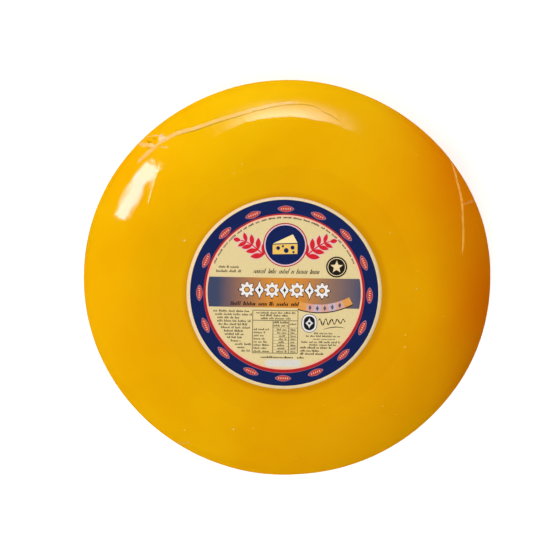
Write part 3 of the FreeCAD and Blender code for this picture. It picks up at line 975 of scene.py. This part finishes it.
class Folds:
    """Strips of doubled film, gathered into one mesh of thin closed solids."""

    def __init__(self):
        self.verts, self.faces, self.inks = [], [], []

    def strip(self, points, wide, mat, rise=0.06, curl=0.0, thick=0.10, wrinkle=0.0,
              taper=0.12, off=0.0, seed=1, across=7, step=0.7):
        """wide may be a pair (start, end). curl lifts the outer (left-hand)
        edge, off moves the strip to that side, wrinkle puckers it."""
        _, _, length = spline(points, 8)
        n = max(8, int(length / step))
        theta, s, _ = spline(points, n)
        out = film_out(theta, s)
        p, nrm = skin(theta, s, out)
        tang = np.gradient(p, axis=0)
        tang /= np.linalg.norm(tang, axis=1, keepdims=True)
        side = np.cross(nrm, tang)
        side /= np.linalg.norm(side, axis=1, keepdims=True)
        g = np.random.default_rng(seed)
        t = np.linspace(0, 1, n)
        w0, w1 = wide if isinstance(wide, tuple) else (wide, wide)
        w = (w0 + (w1 - w0) * t) * (smooth(t, 0, taper) * (1 - smooth(t, 1 - taper, 1)) * 0.94 + 0.06)
        ripple = sum(np.sin(t * length / lam * 2 * math.pi + g.uniform(0, 6.3)) * amp
                     for lam, amp in ((7.1, 0.45), (3.7, 0.35), (2.1, 0.20)))
        w = w * (1 + 0.14 * ripple)
        top, foot = [], []
        for k in range(across):
            q = k / (across - 1)
            a = (q - 0.5) * w + off
            pucker = wrinkle * np.sin(t * length / 2.6 * 2 * math.pi + 1.3 * q + ripple) * (0.3 + q)
            h = rise + curl * q ** 2 + np.abs(pucker) + 0.03 * math.sin(math.pi * q)
            ends = smooth(t, 0, taper) * (1 - smooth(t, 1 - taper, 1))
            h = 0.02 + (h - 0.02) * (0.25 + 0.75 * ends)
            base = p + side * a[:, None]
            top.append(base + nrm * h[:, None])
            foot.append(base + nrm * (h - thick)[:, None])
        top, foot = np.array(top), np.array(foot)
        start = len(self.verts)
        self.verts.extend(top.reshape(-1, 3).tolist())
        self.verts.extend(foot.reshape(-1, 3).tolist())
        half = across * n

        def a_(k, i):
            return start + k * n + i

        def b_(k, i):
            return start + half + k * n + i
        new = []
        for k in range(across - 1):
            for i in range(n - 1):
                new.append((a_(k, i), a_(k, i + 1), a_(k + 1, i + 1), a_(k + 1, i)))
                new.append((b_(k, i), b_(k + 1, i), b_(k + 1, i + 1), b_(k, i + 1)))
        for i in range(n - 1):
            new.append((a_(0, i), b_(0, i), b_(0, i + 1), a_(0, i + 1)))
            new.append((a_(across - 1, i), a_(across - 1, i + 1), b_(across - 1, i + 1), b_(across - 1, i)))
        for k in range(across - 1):
            new.append((a_(k, 0), a_(k + 1, 0), b_(k + 1, 0), b_(k, 0)))
            new.append((a_(k, n - 1), b_(k, n - 1), b_(k + 1, n - 1), a_(k + 1, n - 1)))
        self.faces.extend(new)
        self.inks.extend([mat] * len(new))

    def patch(self, deg, down_at, long, wide, turn, mat, high, seed, rings=9, spokes=40,
              lobes=0.25, thick=0.10):
        """A crumpled round of gathered film."""
        g = np.random.default_rng(seed)
        c, t = math.cos(math.radians(turn)), math.sin(math.radians(turn))
        r0 = float(np.interp(down_at, S, PR))
        rim = sum(g.uniform(0.3, 1) * np.sin(np.linspace(0, 2 * math.pi, spokes, endpoint=False) * k
                                              + g.uniform(0, 6.3)) for k in (2, 3, 5)) * lobes / 2
        phase = g.uniform(0, 6.3, 4)
        rows_top, rows_foot = [], []
        for j in range(1, rings + 1):
            q = j / rings
            a = np.linspace(0, 2 * math.pi, spokes, endpoint=False)
            rr = q * (1 + rim)
            u, v = rr * long * np.cos(a), rr * wide * np.sin(a)
            x, y = u * c - v * t, u * t + v * c
            theta = np.radians(deg) + x / r0
            s = down_at + y
            fold = np.abs(np.sin(a * 4 + phase[0] + 1.5 * q)) * 0.6 + np.abs(np.sin(a * 7 + phase[1])) * 0.4
            h = high * (1 - q ** 2) * (0.35 + 0.65 * fold) + 0.05
            out = film_out(theta, s)
            rows_top.append(skin(theta, s, out + h)[0])
            rows_foot.append(skin(theta, s, out + h - thick)[0])
        mid_s, mid_t = np.array([float(down_at)]), np.array([math.radians(deg)])
        out = film_out(mid_t, mid_s)
        mid_top = skin(mid_t, mid_s, out + high * 0.6)[0]
        mid_foot = skin(mid_t, mid_s, out + high * 0.6 - thick)[0]
        start = len(self.verts)
        for block in (np.concatenate(rows_top), mid_top, np.concatenate(rows_foot), mid_foot):
            self.verts.extend(np.asarray(block).reshape(-1, 3).tolist())
        size = rings * spokes
        mid_a, mid_b = start + size, start + size + 1 + size
        new = []
        for j in range(rings - 1):
            for i in range(spokes):
                k = (i + 1) % spokes
                p00, p01 = start + j * spokes + i, start + j * spokes + k
                p10, p11 = p00 + spokes, p01 + spokes
                new.append((p00, p01, p11, p10))
                o = size + 1
                new.append((p00 + o, p10 + o, p11 + o, p01 + o))
        for i in range(spokes):
            k = (i + 1) % spokes
            new.append((mid_a, start + k, start + i))
            new.append((mid_b, start + size + 1 + i, start + size + 1 + k))
            e = start + (rings - 1) * spokes
            new.append((e + i, e + k, e + k + size + 1, e + i + size + 1))
        self.faces.extend(new)
        self.inks.extend([mat] * len(new))

    def finish(self, name, mats):
        obj = new_object(name, self.verts, self.faces, mats, self.inks)
        fix = bmesh.new()
        fix.from_mesh(obj.data)
        bmesh.ops.recalc_face_normals(fix, faces=fix.faces)
        fix.to_mesh(obj.data)
        fix.free()
        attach(obj, "root")
        return obj


SEAM, FAINT, WELD, KNOT, SIDE_SEAM, PLEAT, SIDE_FOLD = range(7)
BACK = [(129.23, 122.8), (124.24, 119.4), (120.74, 116.3), (116.56, 114.4), (112.88, 113.6),
        (109.06, 113.1), (105.03, 113.0), (101.35, 113.6), (97.35, 114.5), (94.47, 115.5),
        (91.76, 116.3), (89.01, 116.9), (86.31, 117.5), (84.5, 117.5), (82.63, 117.4),
        (80.8, 116.3), (78.73, 114.1)]
SIDE = [(37.6, 144.6), (35.3, 138.0), (33.1, 132.2), (30.3, 128.0), (27.9, 125.0), (26.0, 122.3),
        (23.6, 119.0), (21.2, 116.2), (18.6, 113.8), (15.2, 110.9), (13.2, 109.3), (11.4, 108.2)]
folds = Folds()
# the back seam: a welded line, with its trimmed flap lying away from the face
folds.strip([(132.4, 123.5), (131.1, 123.1), (129.8, 122.6)] + BACK[1:13], (2.8, 1.6), SEAM,
            rise=0.10, curl=0.50, wrinkle=0.06, off=1.30, seed=3, taper=0.05)
folds.strip([(126.6, 121.0)] + BACK[1:], 0.55, WELD, rise=0.10, thick=0.14, seed=4, across=5)
folds.strip([(79.45, 114.1), (77.16, 113.0), (75.11, 111.5), (73.32, 110.0)], 0.5, WELD,
            rise=0.05, seed=5, across=5)
# the side seam, round the shoulder and down the side
folds.strip(SIDE, (2.6, 1.2), SIDE_SEAM, rise=0.10, curl=0.15, wrinkle=0.05, seed=6, taper=0.10)
folds.strip([(37.0, 144.6), (39.5, 152), (42.2, 162), (44.3, 175), (45.4, 190), (45.9, 205),
             (46.0, 212)], 2.2, SEAM, rise=0.10, curl=0.35, wrinkle=0.12, seed=7)
folds.strip([(26.0, 123.8), (25.5, 128.4), (25.05, 134.3), (24.4, 142.5), (23.9, 149.0)], 1.2,
            SIDE_FOLD, rise=0.10, seed=8, across=5)
# the dog ear at the upper left, its loop and the folds that run from it
folds.strip([(128.3, 125.2), (128.9, 128.0), (130.4, 133.0), (132.1, 138.2), (133.8, 141.8),
             (135.4, 143.6)], (1.9, 1.3), SEAM, rise=0.25, curl=0.5, wrinkle=0.25, seed=9)
folds.strip([(135.9, 142.8), (134.8, 134.4), (133.5, 129.0), (132.6, 126.9),
             (132.0, 125.7)], (2.2, 2.4), SEAM, rise=0.30, curl=0.6, wrinkle=0.25, seed=10)
folds.strip([(131.5, 124.1), (132.6, 124.0), (134.36, 124.0), (136.4, 124.3), (138.1, 124.6),
             (139.5, 124.6)], (4.6, 3.6), SEAM, rise=0.20, curl=0.3, wrinkle=0.15, seed=11)
folds.strip([(131.4, 121.9), (130.5, 119.6), (129.07, 116.0)], 1.2, FAINT, rise=0.12, seed=12)
folds.patch(129.2, 127.2, 2.4, 3.4, 10, KNOT, 0.8, 13)
folds.strip([(133.6, 138.0), (133.0, 132.8), (132.2, 130.4)], 0.8, WELD, rise=0.06, seed=18, across=5)
folds.strip([(131.5, 134.2), (130.8, 129.6)], 0.7, WELD, rise=0.06, seed=19, across=5)
folds.strip([(136.0, 145.0), (137.4, 156), (138.4, 170), (139.0, 186), (139.2, 202), (139.2, 212)],
            2.0, SEAM, rise=0.10, curl=0.35, wrinkle=0.12, seed=15)
# a bright pleat inside the left-hand reflection
folds.strip([(133.7, 111.7), (135.2, 109.8), (137.8, 107.0), (141.0, 103.9), (143.7, 101.6),
             (145.7, 100.0), (147.0, 98.9)], (1.9, 1.1), PLEAT,
            rise=0.08, seed=16, across=5)
# small creases low on the near side
folds.strip([(-124.1, 140.1), (-123.42, 130.3), (-122.43, 124.3), (-121.21, 119.4)], 0.9, FAINT,
            rise=0.10, seed=17, across=5)
film_folds = folds.finish("film_folds", [seam_mat, faint_mat, weld_mat, knot_mat, side_mat,
                                          pleat_mat, fold_mat])
film_folds.visible_shadow = False


# pale flecks on the rind under the film: partly the rind's own specks, partly painted glints where small dents
# in the film catch the light
def flecks():
    spots = [(1.95, 76.4, 0.7), (-20.3, 74.7, 0.55), (-25.48, 77.7, 0.6), (152.13, 68.9, 0.9),
             (-103.52, 86.9, 0.5), (-51.0, 91.2, 0.6), (-125.26, 110.3, 0.8), (-110.63, 91.3, 0.8)]
    g = np.random.default_rng(77)
    for _ in range(46):
        spots.append((g.uniform(0, 360), g.uniform(66, 205), g.uniform(0.18, 0.5)))
    verts, faces = [], []
    for deg, at, size in spots:
        n = 9
        start = len(verts)
        r0 = float(np.interp(at, S, PR))
        rr = size * g.uniform(0.6, 1.15, n)
        a = np.linspace(0, 2 * math.pi, n, endpoint=False)
        theta = np.radians(deg) + rr * np.cos(a) / r0
        s = at + rr * np.sin(a) * g.uniform(0.6, 1.0)
        for out in (0.03, -0.12):
            verts.extend(skin(theta, s, cheese_out(theta, s) + out)[0].tolist())
        mid_t, mid_s = np.array([math.radians(deg)]), np.array([at])
        for out in (0.055, -0.12):
            verts.extend(skin(mid_t, mid_s, cheese_out(mid_t, mid_s) + out)[0].tolist())
        ma, mb = start + 2 * n, start + 2 * n + 1
        for i in range(n):
            j = (i + 1) % n
            faces.append((ma, start + j, start + i))
            faces.append((mb, start + n + i, start + n + j))
            faces.append((start + i, start + j, start + n + j, start + n + i))
    # the flecks' pale colour is partly a painted glint
    m, nt, out = material("rind_specks_and_painted_glints")
    p = nt.nodes.new("ShaderNodeBsdfPrincipled")
    co = object_coords(nt)
    nt.links.new(ramp(nt, noise(nt, co, 300.0), [(0.35, (0.66, 0.42, 0.05)), (0.65, (0.70, 0.50, 0.16))]),
                 p.inputs["Base Color"])
    p.inputs["Roughness"].default_value = 0.6
    p.inputs["Specular IOR Level"].default_value = 0.0
    nt.links.new(p.outputs[0], out.inputs["Surface"])
    obj = new_object("rind_flecks", verts, faces, [m])
    fix = bmesh.new()
    fix.from_mesh(obj.data)
    bmesh.ops.recalc_face_normals(fix, faces=fix.faces)
    fix.to_mesh(obj.data)
    fix.free()
    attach(obj, "root")
    return obj


flecks()

# ------------------------------------------------------------- stage and light
def stage_floor():
    mesh = bpy.data.meshes.new("floor")
    a = 6.0
    mesh.from_pydata([(-a, -a, 0), (a, -a, 0), (a, a, 0), (-a, a, 0)], [], [(0, 1, 2, 3)])
    obj = bpy.data.objects.new("floor", mesh)
    bpy.context.scene.collection.objects.link(obj)
    m, nt, out = material("floor")
    d = nt.nodes.new("ShaderNodeBsdfDiffuse")
    co = object_coords(nt)
    nt.links.new(ramp(nt, noise(nt, co, 3.0), [(0.3, (0.87, 0.87, 0.87)), (0.7, (0.89, 0.89, 0.89))]),
                 d.inputs["Color"])
    glow = nt.nodes.new("ShaderNodeEmission")
    far = nt.nodes.new("ShaderNodeVectorMath")
    far.operation = "LENGTH"
    nt.links.new(co, far.inputs[0])
    nt.links.new(remap(nt, far.outputs["Value"], 0.55, 2.2, 0.30, 1.0), glow.inputs["Strength"])
    both = nt.nodes.new("ShaderNodeAddShader")
    nt.links.new(d.outputs[0], both.inputs[0])
    nt.links.new(glow.outputs[0], both.inputs[1])
    nt.links.new(both.outputs[0], out.inputs["Surface"])
    mesh.materials.append(m)
    obj.visible_glossy = False
    return obj


floor = stage_floor()


def panel(name, az, el, far, wide, high, radiance, at=(0, 0, 0.08), glossy=True, fade=None,
          colour=(1, 1, 1), soft=1, bow=0.0):
    """A soft panel seen from the wheel at that compass angle and elevation.
    fade is how much of its width and height softens towards each edge:
    left, right, foot, head. bow lowers the middle of its head."""
    light = bpy.data.lights.new(name, "AREA")
    light.shape = "RECTANGLE"
    light.size = wide
    light.size_y = high
    light.energy = radiance * math.pi * wide * high
    light.color = colour
    obj = bpy.data.objects.new(name, light)
    bpy.context.scene.collection.objects.link(obj)
    a, e = math.radians(az), math.radians(el)
    way = Vector((math.cos(a) * math.cos(e), math.sin(a) * math.cos(e), math.sin(e)))
    obj.location = Vector(at) + way * far
    obj.rotation_mode = "QUATERNION"
    obj.rotation_quaternion = way.to_track_quat("Z", "Y")
    obj.visible_camera = False
    obj.visible_glossy = glossy
    if fade:
        light.use_nodes = True
        nt = light.node_tree
        emit = nt.nodes["Emission"]
        para = nt.nodes.new("ShaderNodeNewGeometry").outputs["Parametric"]
        u, v = axis(nt, para, 0), axis(nt, para, 1)
        fac = None
        for coord, width, flip in ((u, fade[0], False), (u, fade[1], True),
                                   (v, fade[2], False), (v, fade[3], True)):
            if not width:
                continue
            if flip:
                coord = maths(nt, "SUBTRACT", 1.0, coord)
            if bow and flip and coord is not None and width == fade[3]:
                aside = maths(nt, "POWER", maths(nt, "ABSOLUTE", maths(nt, "MULTIPLY_ADD", u, 2.0, -1.0)), 2.0)
                coord = maths(nt, "SUBTRACT", coord, maths(nt, "MULTIPLY_ADD", aside, -bow, bow))
            f = remap(nt, coord, 0.0, width)
            fac = f if fac is None else maths(nt, "MULTIPLY", fac, f)
        if soft > 1:
            fac = maths(nt, "POWER", fac, float(soft))
        nt.links.new(fac, emit.inputs["Strength"])
    return obj


panel("panel_left", 152.6, 8.5, 0.85, 0.395, 0.50, 7.0, at=(-0.09, 0.057, 0.08),
      fade=(0.08, 0.08, 0.18, 0.15), colour=(1.0, 0.60, 1.0))
panel("panel_left_edge", 152.6, 8, 0.85, 0.43, 0.58, 3.0, at=(-0.09, 0.057, 0.08),
      fade=(0.12, 0.12, 0.22, 0.25), colour=(1.0, 1.0, 0.85))
panel("panel_back", 91, -0.5, 1.1, 1.60, 1.40, 5.3, at=(0, 0.10, 0.28), fade=(0.45, 0.45, 0.72, 0.015),
      soft=2, bow=0.286)
LIGHTS = [("soft_0_50", 0, 50, 0.56), ("soft_45_18", 45, 18, 1.54),
          ("soft_45_50", 45, 50, 1.88), ("soft_90_18", 90, 18, 0.42),
          ("soft_90_50", 90, 50, 1.67), ("soft_135_50", 135, 50, 0.42),
          ("soft_180_50", 180, 50, 0.74), ("soft_225_18", 225, 18, 1.93),
          ("soft_225_50", 225, 50, 2.31), ("soft_270_18", 270, 18, 1.43),
          ("soft_270_50", 270, 50, 1.92), ("soft_315_50", 315, 50, 0.44),
          ("soft_top", 0, 90, 2.28)]
for name, az, el, radiance in LIGHTS:
    panel(name, az, el, 1.2, 0.7, 0.7, radiance, glossy=False)

world = bpy.data.worlds.new("studio")
bpy.context.scene.world = world
world.use_nodes = True
world.node_tree.nodes["Background"].inputs["Color"].default_value = (1, 1, 1, 1)
world.node_tree.nodes["Background"].inputs["Strength"].default_value = 0.077
world.cycles_visibility.glossy = False

bpy.context.scene.view_settings.view_transform = "Standard"
bpy.context.scene.view_settings.look = "None"

# -------------------------------------------------------------------- camera
cam_data = bpy.data.cameras.new("camera")
cam = bpy.data.objects.new("camera", cam_data)
bpy.context.scene.collection.objects.link(cam)
bpy.context.scene.camera = cam
TILT = math.radians(10.0)
FAR = 1.300
cam_data.sensor_width = 36.0
cam_data.lens = 137.87
back = Vector((0, math.sin(TILT), math.cos(TILT)))
up = Vector((0, math.cos(TILT), -math.sin(TILT)))
cam.location = (Vector((0, 0, TOP / 2 * MM)) + back * FAR
                + Vector((-1, 0, 0)) * 0.00623 + up * 0.00174)
cam.rotation_euler = (-TILT, 0, 0)
cam_data.clip_start = 0.05
cam_data.clip_end = 30.0
